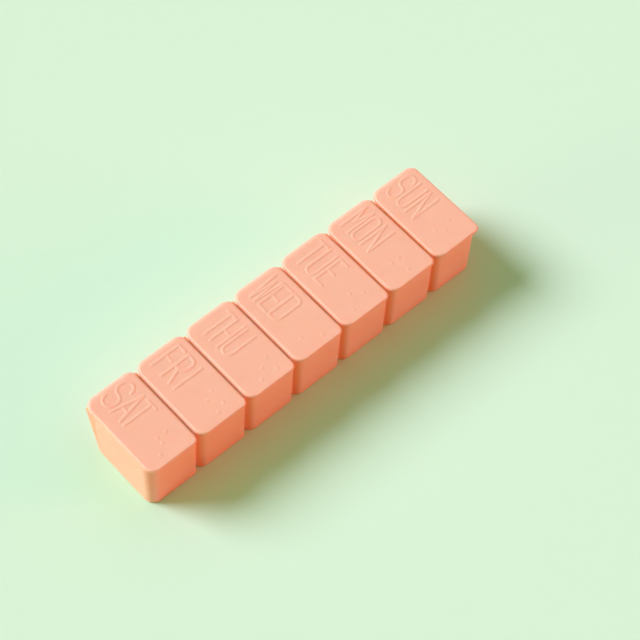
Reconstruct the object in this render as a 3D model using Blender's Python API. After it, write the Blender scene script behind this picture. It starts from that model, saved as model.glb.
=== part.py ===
"""A weekly pill box: one tray of seven cups, and a lid for each cup that turns on the tray's hinge bar.

Metres, +Z up. The origin is under the middle of the box, on the face that it stands on.
The lids open from the front edge, at -Y, and turn about the hinge line at +Y.
"""
import math

import bpy
from mathutils import Vector

# One lid and one cup for each day, from -X to +X
DAYS = ("saturday", "friday", "thursday", "wednesday", "tuesday", "monday", "sunday")

# Overall sizes
LID_PITCH = 0.0213
BOX_DEPTH = 0.0360
BOX_HEIGHT = 0.0252

# Lid plate
LID_GAP = 0.0006
LID_THICKNESS = 0.0014
LID_LEFT_CORNER = 0.0042
LID_RIGHT_CORNER = 0.0024
LID_REAR_LEFT_CORNER = 0.0045
LID_REAR_RIGHT_CORNER = 0.0033
LID_FRONT_FILLET = 0.0004
LID_SIDE_FILLET = 0.0011
LID_REAR_LIP = 0.00025

# Plug rim under the lid, and the closing bead on its front
PLUG_THICKNESS = 0.0010
PLUG_DEPTH = 0.0022
PLUG_CHAMFER = 0.0002
BEAD_WIDTH = 0.0090
BEAD_HEIGHT = 0.0008
BEAD_DROP = 0.0012
BEAD_RISE_SHARE = 0.6

# Clearances between the lids and the tray
SEAT_GAP = 0.0003
FIT_GAP = 0.0003
HINGE_GAP = 0.0003
WALL_CLEARANCE = 0.0004

# Hinge: the bar and its lugs are part of the tray, the knuckle is part of the lid
BAR_RADIUS = 0.0007
LUG_SKIN = 0.0001
LUG_THICKNESS = 0.0012
LUG_STOP_LENGTH = 0.0018
LUG_SLOPE = math.radians(45)
KNUCKLE_WIDTH = 0.0113
KNUCKLE_WALL = 0.0009
KNUCKLE_FRONT = math.radians(180)
KNUCKLE_INNER_END = math.radians(135)
KNUCKLE_TIP = math.radians(-70)
OPEN_ANGLE = math.radians(110)

# Ears: each wall across the tray runs out behind it to the hinge line, less at the foot than on top
EAR_THICKNESS = 0.0013
INNER_EAR_THICKNESS = 0.0011
EAR_INSET = 0.00005
EAR_EDGE = 0.0004
EAR_ROOT = 0.0009
EAR_FOOT_INSET = 0.0020

# Tray
FRONT_OVERHANG = 0.0010
END_OVERHANG = 0.0002
OUTER_WALL = 0.0013
PARTITION = 0.0013
FLOOR_THICKNESS = 0.0014
TRAY_CORNER = 0.0040
GROOVE_LEFT_CORNER = 0.0022
GROOVE_HALF_WIDTH = 0.00025
TRAY_DRAFT = 0.00035
TRAY_BOTTOM_FILLET = 0.0005
CUP_CORNER = 0.0040
CUP_DRAFT = 0.0004
CUP_FLOOR_FILLET = 0.0030

# How far a joined shape runs into its neighbour, and a cutter past the surface
EMBED = 0.00015
OVERRUN = 0.0010

# Segments in a quarter turn, or along one fillet
CORNER_STEPS = 4
REAR_CORNER_STEPS = 6
FILLET_STEPS = 3
ROLL_STEPS = 4
BAR_SIDES = 16
KNUCKLE_STEP = math.radians(18)

# Edges sharper than this stay sharp when the faces are shaded smooth
SHARP_ANGLE = math.radians(35)

# Plastic
PLASTIC_COLOR = (0.83, 0.33, 0.17, 1.0)
PLASTIC_ROUGHNESS = 0.38

# Places that follow from the sizes above
LUG_RADIUS = BAR_RADIUS + LUG_SKIN
BORE_RADIUS = BAR_RADIUS + HINGE_GAP
ARM_RADIUS = BORE_RADIUS + KNUCKLE_WALL
UNDERSIDE_OVER_AXIS = LUG_RADIUS + SEAT_GAP
ROLL_RADIUS = UNDERSIDE_OVER_AXIS + LID_THICKNESS
HINGE_Y = BOX_DEPTH / 2 - ROLL_RADIUS
HINGE_Z = BOX_HEIGHT - ROLL_RADIUS
RIM_Z = HINGE_Z + LUG_RADIUS
LID_WIDTH = LID_PITCH - LID_GAP
LID_CORNERS = (LID_LEFT_CORNER, LID_RIGHT_CORNER, LID_REAR_RIGHT_CORNER, LID_REAR_LEFT_CORNER)
LID_FRONT = -BOX_DEPTH / 2 - HINGE_Y
TRAY_END = (LID_PITCH * len(DAYS) - LID_GAP) / 2 - END_OVERHANG
TRAY_FRONT = -BOX_DEPTH / 2 + FRONT_OVERHANG
TRAY_BACK = HINGE_Y - ARM_RADIUS - WALL_CLEARANCE
CUP_FRONT = TRAY_FRONT + OUTER_WALL
CUP_BACK = TRAY_BACK - OUTER_WALL
EAR_FRONT_Y = TRAY_BACK - TRAY_CORNER - EAR_ROOT
EAR_FOOT_Y = TRAY_BACK - EAR_FOOT_INSET


def clear_scene():
    """Remove the objects that the scene starts with."""
    for item in list(bpy.data.objects):
        bpy.data.objects.remove(item, do_unlink=True)


def polar(radius, angle):
    """A point at this radius and angle."""
    return Vector((radius * math.cos(angle), radius * math.sin(angle)))


def arc(centre, radius, start, end, steps):
    """Points along an arc, each with its outward normal."""
    angles = [start + (end - start) * k / steps for k in range(steps + 1)]
    return [(Vector(centre) + polar(radius, a), polar(1, a)) for a in angles]


def rounded_rectangle(low, high, corners, rear_steps=CORNER_STEPS):
    """Points and normals round a rectangle, counterclockwise from its front left corner."""
    front_left, front_right, rear_right, rear_left = corners
    half, quarter = math.pi, math.pi / 2
    points = arc((low.x + front_left, low.y + front_left), front_left,
                 half, half + quarter, CORNER_STEPS)
    points += arc((high.x - front_right, low.y + front_right), front_right, -quarter, 0, CORNER_STEPS)
    points += arc((high.x - rear_right, high.y - rear_right), rear_right, 0, quarter, rear_steps)
    points += arc((low.x + rear_left, high.y - rear_left), rear_left, quarter, half, rear_steps)
    return points


def ring(outline, inset, height):
    """The outline moved in by one distance, at one height."""
    return [Vector((*(point - normal * inset), height)) for point, normal in outline]


def plastic(name):
    """The satin plastic of one moulding."""
    material = bpy.data.materials.new(name)
    material.use_nodes = True
    shader = material.node_tree.nodes["Principled BSDF"]
    shader.inputs["Base Color"].default_value = PLASTIC_COLOR
    shader.inputs["Roughness"].default_value = PLASTIC_ROUGHNESS
    shader.inputs["Metallic"].default_value = 0.0
    return material


def add_object(name, vertices, faces, place):
    """One object from vertices and faces, at its place."""
    mesh = bpy.data.meshes.new(name)
    mesh.from_pydata([tuple(v) for v in vertices], [], faces)
    mesh.shade_smooth()
    mesh.set_sharp_from_angle(angle=SHARP_ANGLE)
    item = bpy.data.objects.new(name, mesh)
    item.location = place
    bpy.context.scene.collection.objects.link(item)
    return item


def loft(name, rings, place):
    """A closed solid through rings of equal count, the lowest ring first."""
    count = len(rings[0])
    faces = [tuple(reversed(range(count)))]
    for level in range(len(rings) - 1):
        low, high = level * count, (level + 1) * count
        for k in range(count):
            after = (k + 1) % count
            faces.append((low + k, low + after, high + after, high + k))
    last = (len(rings) - 1) * count
    faces.append(tuple(range(last, last + count)))
    return add_object(name, [v for each in rings for v in each], faces, place)


def hoop(name, rings, place):
    """A closed hoop: its rings run down the outside, up the inside and back to the first."""
    count = len(rings[0])
    faces = []
    for level in range(len(rings)):
        here, there = level * count, (level + 1) % len(rings) * count
        for k in range(count):
            after = (k + 1) % count
            faces.append((here + k, there + k, there + after, here + after))
    return add_object(name, [v for each in rings for v in each], faces, place)


def bar_shape(name, profile, low_x, high_x, place):
    """A profile of (y, z) points, counterclockwise from +X, drawn out along X."""
    rings = [[Vector((x, *point)) for point in profile] for x in (low_x, high_x)]
    return loft(name, rings, place)


def join(target, tool, operation):
    """Cut the tool from the target, or unite it with the target."""
    modifier = target.modifiers.new(tool.name, "BOOLEAN")
    modifier.operation = operation
    modifier.solver = "EXACT"
    modifier.object = tool
    tool.hide_render = True
    tool.display_type = "WIRE"


def lid_middle(index):
    """X of the middle of one lid."""
    return (index - (len(DAYS) - 1) / 2) * LID_PITCH


def cup_sides(index):
    """X of the two inner side faces of one cup, at the rim."""
    left = lid_middle(index) - LID_PITCH / 2 + PARTITION / 2
    right = lid_middle(index) + LID_PITCH / 2 - PARTITION / 2
    return max(left, -TRAY_END + OUTER_WALL), min(right, TRAY_END - OUTER_WALL)


def groove_side(corner_x, side):
    """The rounded side of a groove between two cups: side is 1 left of the groove, -1 right."""
    radius = GROOVE_LEFT_CORNER if side > 0 else TRAY_CORNER
    root = math.acos((radius - GROOVE_HALF_WIDTH) / radius)
    centre = (corner_x - side * radius, TRAY_FRONT + radius)
    if side > 0:
        return arc(centre, radius, -math.pi / 2, -root, CORNER_STEPS)
    return arc(centre, radius, math.pi + root, math.pi * 3 / 2, CORNER_STEPS)


def tray_front_edge():
    """The front of the tray's outline, from the left end to the right end."""
    points = arc((-TRAY_END + TRAY_CORNER, TRAY_FRONT + TRAY_CORNER), TRAY_CORNER,
                 math.pi, math.pi * 3 / 2, CORNER_STEPS)
    for index in range(1, len(DAYS)):
        middle = lid_middle(index) - LID_PITCH / 2
        points += groove_side(middle, 1) + groove_side(middle, -1)
    points += arc((TRAY_END - TRAY_CORNER, TRAY_FRONT + TRAY_CORNER), TRAY_CORNER,
                  -math.pi / 2, 0, CORNER_STEPS)
    return points


def tray_outline():
    """The tray's outline at its rim: the front edge, and the same edge mirrored at the back."""
    front = tray_front_edge()
    middle = (TRAY_FRONT + TRAY_BACK) / 2
    back = [(Vector((p.x, 2 * middle - p.y)), Vector((n.x, -n.y))) for p, n in reversed(front)]
    return front + back


def tray_block():
    """The tray without its cups and hinge bars."""
    outline = tray_outline()
    rings = []
    for k in range(FILLET_STEPS + 1):
        angle = math.pi / 2 * k / FILLET_STEPS
        height = TRAY_BOTTOM_FILLET * (1 - math.cos(angle))
        draft = TRAY_DRAFT * (1 - height / RIM_Z)
        rings.append(ring(outline, draft + TRAY_BOTTOM_FILLET * (1 - math.sin(angle)), height))
    rings.append(ring(outline, 0, RIM_Z))
    return loft("tray", rings, (0, 0, 0))


def cup_cutter(index):
    """The inside of one cup, with sloping walls and a rounded floor."""
    left, right = cup_sides(index)
    outline = rounded_rectangle(Vector((left, CUP_FRONT)), Vector((right, CUP_BACK)),
                                (CUP_CORNER,) * 4)
    depth = RIM_Z - FLOOR_THICKNESS
    rings = []
    for k in range(FILLET_STEPS + 1):
        angle = math.pi / 2 * k / FILLET_STEPS
        rise = CUP_FLOOR_FILLET * (1 - math.cos(angle))
        draft = CUP_DRAFT * (1 - rise / depth)
        inset = draft + CUP_FLOOR_FILLET * (1 - math.sin(angle))
        rings.append(ring(outline, inset, FLOOR_THICKNESS + rise))
    rings.append(ring(outline, -CUP_DRAFT * OVERRUN / depth, RIM_Z + OVERRUN))
    return loft(f"{DAYS[index]}_cup", rings, (0, 0, 0))


def lug_round():
    """Side view of a lug's round end about the hinge line, and the foot of the open lid's stop."""
    boss = [p for p, n in arc((0, 0), LUG_RADIUS, math.pi / 2 - OPEN_ANGLE, math.pi / 2, CORNER_STEPS)]
    return boss, boss[0] + polar(LUG_STOP_LENGTH, -OPEN_ANGLE)


def lug_profile():
    """Side view of a lug about the hinge line: flush with the rim, round the bar, then the stop."""
    boss, foot = lug_round()
    wall = TRAY_BACK - HINGE_Y - OUTER_WALL / 2
    drop = (foot.x - wall) * math.tan(LUG_SLOPE)
    return boss + [Vector((wall, LUG_RADIUS)), Vector((wall, foot.y - drop)), foot]


def bar_ends(index):
    """X of the two ends of one hinge bar, each in the middle of the lug or ear that carries it."""
    reach = (KNUCKLE_WIDTH + LUG_THICKNESS) / 2 + HINGE_GAP
    ear = TRAY_END - EAR_INSET - EAR_THICKNESS / 2
    left = -ear - lid_middle(index) if index == 0 else -reach
    right = ear - lid_middle(index) if index == len(DAYS) - 1 else reach
    return left, right


def hinge_shapes(index):
    """One hinge bar and the two lugs that carry it, for the back of the tray."""
    place = (lid_middle(index), HINGE_Y, HINGE_Z)
    inner = KNUCKLE_WIDTH / 2 + HINGE_GAP
    outer = inner + LUG_THICKNESS
    circle = [p for p, n in arc((0, 0), BAR_RADIUS, 0, math.tau, BAR_SIDES)[:-1]]
    name = DAYS[index]
    return [bar_shape(f"{name}_bar", circle, *bar_ends(index), place),
            bar_shape(f"{name}_left_lug", lug_profile(), -outer, -inner, place),
            bar_shape(f"{name}_right_lug", lug_profile(), inner, outer, place)]


def ear(name, x, thickness, side):
    """One wall's ear, widening from its foot up to the hinge line: side is -1 left, 1 right, 0 between."""
    boss, foot = lug_round()
    hinge = Vector((HINGE_Y, HINGE_Z))
    rings = []
    for rear, height in [(EAR_FOOT_Y, TRAY_BOTTOM_FILLET)] + [hinge + point for point in [foot] + boss]:
        middle = x - side * TRAY_DRAFT * (1 - height / RIM_Z)
        outline = rounded_rectangle(Vector((middle - thickness / 2, EAR_FRONT_Y)),
                                    Vector((middle + thickness / 2, rear)), (EAR_EDGE,) * 4)
        rings.append(ring(outline, 0, height))
    return loft(name, rings, (0, 0, 0))


def ears():
    """The ears of the two end walls, and of the walls between the cups."""
    end = TRAY_END - EAR_INSET - EAR_THICKNESS / 2
    shapes = [ear("left_ear", -end, EAR_THICKNESS, -1), ear("right_ear", end, EAR_THICKNESS, 1)]
    for index in range(1, len(DAYS)):
        middle = lid_middle(index) - LID_PITCH / 2
        shapes.append(ear(f"{DAYS[index]}_ear", middle, INNER_EAR_THICKNESS, 0))
    return shapes


def make_tray():
    """The tray: seven cups in a row, with a hinge bar behind each and an ear behind each wall."""
    tray = tray_block()
    for index in range(len(DAYS)):
        join(tray, cup_cutter(index), "DIFFERENCE")
        for shape in hinge_shapes(index):
            join(tray, shape, "UNION")
    for shape in ears():
        join(tray, shape, "UNION")
    tray.data.materials.append(plastic("tray_plastic"))
    return tray


def plate_ring(outline, step):
    """One ring of the plate's rounded edge: a small fillet at the front and sides, the roll behind."""
    share = step / ROLL_STEPS
    side = math.pi / 2 * share
    start = math.asin((UNDERSIDE_OVER_AXIS + LID_REAR_LIP) / ROLL_RADIUS)
    roll = start + (math.pi / 2 - start) * share
    roll_inset = ROLL_RADIUS * (math.cos(start) - math.cos(roll))
    roll_height = ROLL_RADIUS * math.sin(roll)
    points = []
    for point, normal in outline:
        back = max(0, normal.y) ** 2
        fillet = LID_FRONT_FILLET + (LID_SIDE_FILLET - LID_FRONT_FILLET) * normal.x ** 2
        side_inset = fillet * (1 - math.cos(side))
        side_height = ROLL_RADIUS - fillet * (1 - math.sin(side))
        inset = side_inset + (roll_inset - side_inset) * back
        height = side_height + (roll_height - side_height) * back
        points.append(Vector((*(point - normal * inset), height)))
    return points


def lid_plate(index, place):
    """The lid's top plate, from its hinge line."""
    lip = UNDERSIDE_OVER_AXIS + LID_REAR_LIP
    rear = math.sqrt(ROLL_RADIUS ** 2 - lip ** 2)
    outline = rounded_rectangle(Vector((-LID_WIDTH / 2, LID_FRONT)), Vector((LID_WIDTH / 2, rear)),
                                LID_CORNERS, REAR_CORNER_STEPS)
    rings = [ring(outline, 0, UNDERSIDE_OVER_AXIS)]
    rings += [plate_ring(outline, step) for step in range(ROLL_STEPS + 1)]
    return loft(f"{DAYS[index]}_lid", rings, place)


def plug_rim(index, place):
    """The rim that drops into the cup, a clearance inside its walls."""
    left, right = (x - lid_middle(index) for x in cup_sides(index))
    low = Vector((left + FIT_GAP, CUP_FRONT - HINGE_Y + FIT_GAP))
    high = Vector((right - FIT_GAP, CUP_BACK - HINGE_Y - FIT_GAP))
    corner = CUP_CORNER - FIT_GAP
    outline = rounded_rectangle(low, high, (corner,) * 4)
    top = UNDERSIDE_OVER_AXIS + EMBED
    bottom = UNDERSIDE_OVER_AXIS - PLUG_DEPTH
    rings = [ring(outline, 0, top), ring(outline, 0, bottom + PLUG_CHAMFER),
             ring(outline, PLUG_CHAMFER, bottom), ring(outline, PLUG_THICKNESS, bottom),
             ring(outline, PLUG_THICKNESS, top)]
    return hoop(f"{DAYS[index]}_plug", rings, place)


def closing_bead(index, place):
    """The bead on the plug's front that holds the lid shut."""
    face = CUP_FRONT - HINGE_Y + FIT_GAP
    middle = UNDERSIDE_OVER_AXIS - BEAD_DROP
    rise = FIT_GAP * BEAD_RISE_SHARE
    half = BEAD_HEIGHT / 2
    angles = [math.pi * k / CORNER_STEPS for k in range(CORNER_STEPS + 1)]
    bulge = [Vector((face - rise * math.sin(a), middle + half * math.cos(a))) for a in angles]
    inside = [Vector((face + EMBED, middle - half)), Vector((face + EMBED, middle + half))]
    return bar_shape(f"{DAYS[index]}_bead", bulge + inside, -BEAD_WIDTH / 2, BEAD_WIDTH / 2, place)


def knuckle_angles(start, end):
    """Angles from start to end in even steps of about the knuckle's step."""
    steps = max(1, round(abs(end - start) / KNUCKLE_STEP))
    return [start + (end - start) * k / steps for k in range(steps + 1)]


def knuckle_profile():
    """Side view of the knuckle, an open ring that clips over the bar and thins towards its tip."""
    lip = UNDERSIDE_OVER_AXIS + LID_REAR_LIP
    leaves = math.asin((lip - EMBED / 2) / ROLL_RADIUS)
    rear = []
    for angle in knuckle_angles(KNUCKLE_TIP, leaves):
        thinning = min(1, max(0, angle / KNUCKLE_TIP))
        rear.append(polar(ROLL_RADIUS + (ARM_RADIUS - ROLL_RADIUS) * thinning, angle))
    embedded = Vector((rear[-1].x - LID_THICKNESS, UNDERSIDE_OVER_AXIS + LID_THICKNESS / 2))
    front = [polar(ARM_RADIUS, angle) for angle in knuckle_angles(KNUCKLE_INNER_END, KNUCKLE_FRONT)]
    bore = [polar(BORE_RADIUS, angle) for angle in knuckle_angles(KNUCKLE_FRONT, KNUCKLE_TIP)]
    return rear + [embedded] + front + bore


def make_lid(index):
    """One lid, its origin on the hinge line."""
    place = (lid_middle(index), HINGE_Y, HINGE_Z)
    lid = lid_plate(index, place)
    half = KNUCKLE_WIDTH / 2
    knuckle = bar_shape(f"{DAYS[index]}_knuckle", knuckle_profile(), -half, half, place)
    for shape in (plug_rim(index, place), closing_bead(index, place), knuckle):
        join(lid, shape, "UNION")
    lid.data.materials.append(plastic(f"{DAYS[index]}_plastic"))
    return lid


def main():
    """Make the tray and its lids."""
    clear_scene()
    make_tray()
    for index in range(len(DAYS)):
        make_lid(index)


main()
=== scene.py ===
"""A weekly pill box with seven hinged lids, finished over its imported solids.

The tray and the lids are made again from the solids' own sizes, with finer curves, softened
edges and raised day letters. Each one rides on its own body. Metres, +Z up: +X runs from the
Saturday lid to the Sunday lid, and the lids open from their front edges at -Y.
"""
import math

import bmesh
import bpy
from bpy.props import FloatProperty, FloatVectorProperty, PointerProperty
from mathutils import Matrix, Vector


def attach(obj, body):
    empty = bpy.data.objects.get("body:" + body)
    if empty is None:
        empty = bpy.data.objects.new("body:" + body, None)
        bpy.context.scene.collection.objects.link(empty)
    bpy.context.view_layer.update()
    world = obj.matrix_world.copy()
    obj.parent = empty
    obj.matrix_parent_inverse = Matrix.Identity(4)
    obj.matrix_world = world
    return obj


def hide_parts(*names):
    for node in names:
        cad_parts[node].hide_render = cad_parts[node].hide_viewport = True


bl_info = {
    "name": "Weekly Pill Box",
    "version": (1, 0, 0),
    "blender": (4, 5, 0),
    "location": "3D View > Sidebar > Pill Box",
    "description": "A moulded weekly pill box with seven hinged lids, and a studio stage for it",
    "category": "Add Mesh",
}

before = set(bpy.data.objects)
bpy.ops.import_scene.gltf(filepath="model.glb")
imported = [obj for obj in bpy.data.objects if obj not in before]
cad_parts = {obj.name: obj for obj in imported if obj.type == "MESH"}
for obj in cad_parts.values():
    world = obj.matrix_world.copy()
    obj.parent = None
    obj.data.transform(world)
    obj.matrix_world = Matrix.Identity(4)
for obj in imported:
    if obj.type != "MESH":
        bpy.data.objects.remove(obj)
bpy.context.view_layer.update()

# One lid and one cup for each day, from -X to +X
DAYS = ("saturday", "friday", "thursday", "wednesday", "tuesday", "monday", "sunday")

# Overall sizes
LID_PITCH = 0.0213
BOX_DEPTH = 0.0360
BOX_HEIGHT = 0.0252

# Lid plate
LID_GAP = 0.0006
LID_THICKNESS = 0.0014
LID_LEFT_CORNER = 0.0042
LID_RIGHT_CORNER = 0.0024
LID_REAR_LEFT_CORNER = 0.0045
LID_REAR_RIGHT_CORNER = 0.0033
LID_FRONT_FILLET = 0.0004
LID_SIDE_FILLET = 0.0011
LID_REAR_LIP = 0.00025
LID_UNDER_FILLET = 0.0002

# Plug rim under the lid, and the closing bead on its front
PLUG_THICKNESS = 0.0010
PLUG_DEPTH = 0.0022
PLUG_FILLET = 0.0002
BEAD_WIDTH = 0.0090
BEAD_HEIGHT = 0.0008
BEAD_DROP = 0.0012
BEAD_RISE_SHARE = 0.6
BEAD_TAPER = 0.0008

# Clearances between the lids and the tray
SEAT_GAP = 0.0003
FIT_GAP = 0.0003
HINGE_GAP = 0.0003
WALL_CLEARANCE = 0.0004

# Hinge: the bar and its lugs are part of the tray, the knuckle is part of the lid
BAR_RADIUS = 0.0007
LUG_SKIN = 0.0001
LUG_THICKNESS = 0.0012
LUG_STOP_LENGTH = 0.0018
LUG_SLOPE = math.radians(45)
LUG_FILLET = 0.00015
KNUCKLE_WIDTH = 0.0113
KNUCKLE_WALL = 0.0009
KNUCKLE_FRONT = math.radians(180)
KNUCKLE_INNER_END = math.radians(135)
KNUCKLE_TIP = math.radians(-70)
KNUCKLE_FILLET = 0.00015
OPEN_ANGLE = math.radians(110)

# Ears, which carry the tray's walls on to the hinge line, and reach less far at their feet
EAR_THICKNESS = 0.0013
INNER_EAR_THICKNESS = 0.0011
EAR_INSET = 0.00005
EAR_EDGE = 0.0004
EAR_ROOT = 0.0009
EAR_FOOT_INSET = 0.0020

# Tray
FRONT_OVERHANG = 0.0010
END_OVERHANG = 0.0002
OUTER_WALL = 0.0013
PARTITION = 0.0013
FLOOR_THICKNESS = 0.0014
TRAY_CORNER = 0.0040
GROOVE_LEFT_CORNER = 0.0022
GROOVE_HALF_WIDTH = 0.00025
TRAY_DRAFT = 0.00035
TRAY_BOTTOM_FILLET = 0.0005
RIM_FILLET = 0.0002
CUP_CORNER = 0.0040
CUP_DRAFT = 0.0004
CUP_FLOOR_FILLET = 0.0030

# How far a joined shape runs into its neighbour, and a cutter past the surface
EMBED = 0.00015
OVERRUN = 0.0010

# Segments in a quarter turn, or along one fillet
CORNER_STEPS = 10
REAR_CORNER_STEPS = 14
FILLET_STEPS = 8
SMALL_FILLET_STEPS = 4
ROLL_STEPS = 9
BAR_SIDES = 40
KNUCKLE_STEP = math.radians(6)

# Edges sharper than this stay sharp when the faces are shaded smooth
SHARP_ANGLE = math.radians(40)

# The fine patch of each lid's top that carries the letters, from the lid's middle and front edge
PATCH_LEFT = -0.0066
PATCH_RIGHT = 0.0082
PATCH_FRONT = 0.0020
PATCH_REAR = 0.0333
PATCH_CELL = 0.00012

# A face counts as level when its normal's Z is over this
LEVEL_NORMAL = 0.999

# Day letters, as strokes in a box one wide and one high; the corners of the round ones are rounded
LETTER_STROKES = {
    "A": (((0, 0), (0.5, 1), (1, 0)), ((0.2, 0.34), (0.8, 0.34))),
    "D": (((0, 0), (0, 1)), ((0, 1), (1, 1), (1, 0), (0, 0))),
    "E": (((1, 1), (0, 1), (0, 0), (1, 0)), ((0, 0.5), (0.85, 0.5))),
    "F": (((1, 1), (0, 1), (0, 0)), ((0, 0.52), (0.9, 0.52))),
    "H": (((0, 0), (0, 1)), ((1, 0), (1, 1)), ((0, 0.5), (1, 0.5))),
    "I": (((0, 0), (0, 1)),),
    "M": (((0, 0), (0, 1), (0.5, 0.4), (1, 1), (1, 0)),),
    "N": (((0, 0), (0, 1), (1, 0), (1, 1)),),
    "O": (((0.5, 1), (1, 1), (1, 0), (0, 0), (0, 1), (0.5, 1)),),
    "R": (((0, 0), (0, 1)), ((0, 1), (1, 1), (1, 0.5), (0, 0.5)), ((0.45, 0.5), (1, 0))),
    "S": (((1, 0.82), (1, 1), (0, 1), (0, 0.5), (1, 0.5), (1, 0), (0, 0), (0, 0.18)),),
    "T": (((0, 1), (1, 1)), ((0.5, 1), (0.5, 0))),
    "U": (((0, 1), (0, 0), (1, 0), (1, 1)),),
    "W": (((0, 1), (0.25, 0), (0.5, 0.85), (0.75, 0), (1, 1)),),
}
ROUND_LETTERS = "DORSU"
ROUND_SHARE = 0.5
ROUND_STEPS = 8
LETTER_BASE = 0.0055
LETTER_TOP = 0.0174

# Each word's letters, with the start and end of each one from the lid's front edge
WORDS = {
    "saturday": (("S", 0.0328, 0.0278), ("A", 0.0268, 0.0220), ("T", 0.0222, 0.0179)),
    "friday": (("F", 0.0317, 0.0284), ("R", 0.0266, 0.0226), ("I", 0.0199, 0.0198)),
    "thursday": (("T", 0.0314, 0.0276), ("H", 0.0265, 0.0229), ("U", 0.0215, 0.0176)),
    "wednesday": (("W", 0.0316, 0.0274), ("E", 0.0266, 0.0229), ("D", 0.0215, 0.0175)),
    "tuesday": (("T", 0.0320, 0.0282), ("U", 0.0270, 0.0233), ("E", 0.0218, 0.0182)),
    "monday": (("M", 0.0321, 0.0284), ("O", 0.0271, 0.0235), ("N", 0.0220, 0.0181)),
    "sunday": (("S", 0.0324, 0.0285), ("U", 0.0271, 0.0235), ("N", 0.0219, 0.0181)),
}

# Raised touch dots on each lid, from the lid cell's left side and the lid's front edge
DOTS = {
    "saturday": ((0.0109, 0.0094), (0.0144, 0.0094), (0.0109, 0.0069), (0.0076, 0.0038)),
    "friday": ((0.0144, 0.0114), (0.0109, 0.0094), (0.0144, 0.0053), (0.0109, 0.0036)),
    "thursday": ((0.0152, 0.0094), (0.0114, 0.0070), (0.0084, 0.0037), (0.0152, 0.0037)),
    "wednesday": ((0.0076, 0.0072), (0.0142, 0.0036)),
    "tuesday": ((0.0104, 0.0094), (0.0074, 0.0041), (0.0144, 0.0068)),
    "monday": ((0.0086, 0.0094), (0.0118, 0.0093), (0.0111, 0.0037)),
    "sunday": ((0.0078, 0.0094), (0.0144, 0.0093), (0.0107, 0.0070)),
}

# Painted shade in the folds between the cups: core, reach, depth, softness and lean of the shade, its
# share at the ends
FOLD_CORE = 0.0001
FOLD_REACH = 0.0027
FOLD_DEPTH = 0.0021
FOLD_BLEND = 0.0005
FOLD_LEAN = 0.0010
FOLD_AT_ENDS = 0.5

# Painted shade at the left end of the tray's front: how strong it is, and where it fades out
PAINTED_END_SHADE_DEPTH = 0.40
PAINTED_END_SHADE_FADE = 0.0150

# Painted light on the foot of the front wall, which makes it paler: heights where it is full and where
# it ends
FOOT_LOW = 0.0040
FOOT_HIGH = 0.0150

# Painted shade in the seams between the lids: core, reach, start, end and softness of the shade, its
# share at the left
SEAM_CORE = 0.00045
SEAM_REACH = 0.0009
SEAM_START = 0.0003
SEAM_END = 0.0023
SEAM_BLEND = 0.0005
SEAM_AT_LEFT = 0.3

# Camera of the photograph
CAMERA_PLACE = Vector((-0.26583, -0.28375, 0.66132))
CAMERA_AIM = Vector((0.01192, -0.00423, 0.01260))
CAMERA_ROLL = math.radians(3.563)
CAMERA_LENS = 124.0
SENSOR_WIDTH = 36.0

# Lights, as directions from the box, and how broad each one is
KEY_DIRECTION = Vector((-0.468, 0.628, 0.606))
FILL_DIRECTION = Vector((0.75, -0.65, 0.06))
SIDE_DIRECTION = Vector((-0.95, 0.30, 0.05))
LIGHT_SPREAD = math.radians(30)

# Plastic: its slow waves, the noise ranges of its flow marks and polish, and how it reflects
TRAY_WAVE_DEPTH = 0.00002
LID_WAVE_DEPTH = 0.00001
FLOW_NOISE = (0.35, 0.65)
POLISH_NOISE = (0.3, 0.7)
ROUGHNESS_SPREAD = 0.04
PLASTIC_IOR = 1.49
PLASTIC_SPECULAR = 0.35

# Floor, and the heights between which the low light turns into the light from overhead
FLOOR_HALF_WIDTH = 3.0
PAPER_ROUGHNESS = 0.9
PAPER_SPECULAR = 0.1
SKY_RISE = (0.3, 0.9)

# Painted shade on the floor close beside the left end
FLOOR_SHADE_MIDDLE = -0.0020
FLOOR_SHADE_HALF_LENGTH = 0.0060
FLOOR_SHADE_REACH = 0.0220

# Places that follow from the sizes above
LUG_RADIUS = BAR_RADIUS + LUG_SKIN
BORE_RADIUS = BAR_RADIUS + HINGE_GAP
ARM_RADIUS = BORE_RADIUS + KNUCKLE_WALL
UNDERSIDE_OVER_AXIS = LUG_RADIUS + SEAT_GAP
ROLL_RADIUS = UNDERSIDE_OVER_AXIS + LID_THICKNESS
LIP_OVER_AXIS = UNDERSIDE_OVER_AXIS + LID_REAR_LIP
HINGE_Y = BOX_DEPTH / 2 - ROLL_RADIUS
HINGE_Z = BOX_HEIGHT - ROLL_RADIUS
RIM_Z = HINGE_Z + LUG_RADIUS
UNDERSIDE_Z = HINGE_Z + UNDERSIDE_OVER_AXIS
LID_WIDTH = LID_PITCH - LID_GAP
LID_CORNERS = (LID_LEFT_CORNER, LID_RIGHT_CORNER, LID_REAR_RIGHT_CORNER, LID_REAR_LEFT_CORNER)
LID_FRONT = -BOX_DEPTH / 2
TRAY_END = (LID_PITCH * len(DAYS) - LID_GAP) / 2 - END_OVERHANG
TRAY_FRONT = LID_FRONT + FRONT_OVERHANG
TRAY_BACK = HINGE_Y - ARM_RADIUS - WALL_CLEARANCE
CUP_FRONT = TRAY_FRONT + OUTER_WALL
CUP_BACK = TRAY_BACK - OUTER_WALL
EAR_FRONT_Y = TRAY_BACK - TRAY_CORNER - EAR_ROOT
EAR_FOOT_Y = TRAY_BACK - EAR_FOOT_INSET
END_EAR_X = TRAY_END - EAR_INSET - EAR_THICKNESS / 2
SEAM_ROW = TRAY_END - LID_PITCH / 2
QUARTER = math.pi / 2


# ------- settings


def length_setting(name, description, default, low, high, precision=5):
    """A length in the sidebar."""
    return FloatProperty(name=name, description=description, default=default, min=low, max=high,
                         unit="LENGTH", precision=precision)


def colour_setting(name, description, default):
    """A colour in the sidebar."""
    return FloatVectorProperty(name=name, description=description, default=default,
                               min=0.0, max=1.0, size=3, subtype="COLOR")


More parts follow.
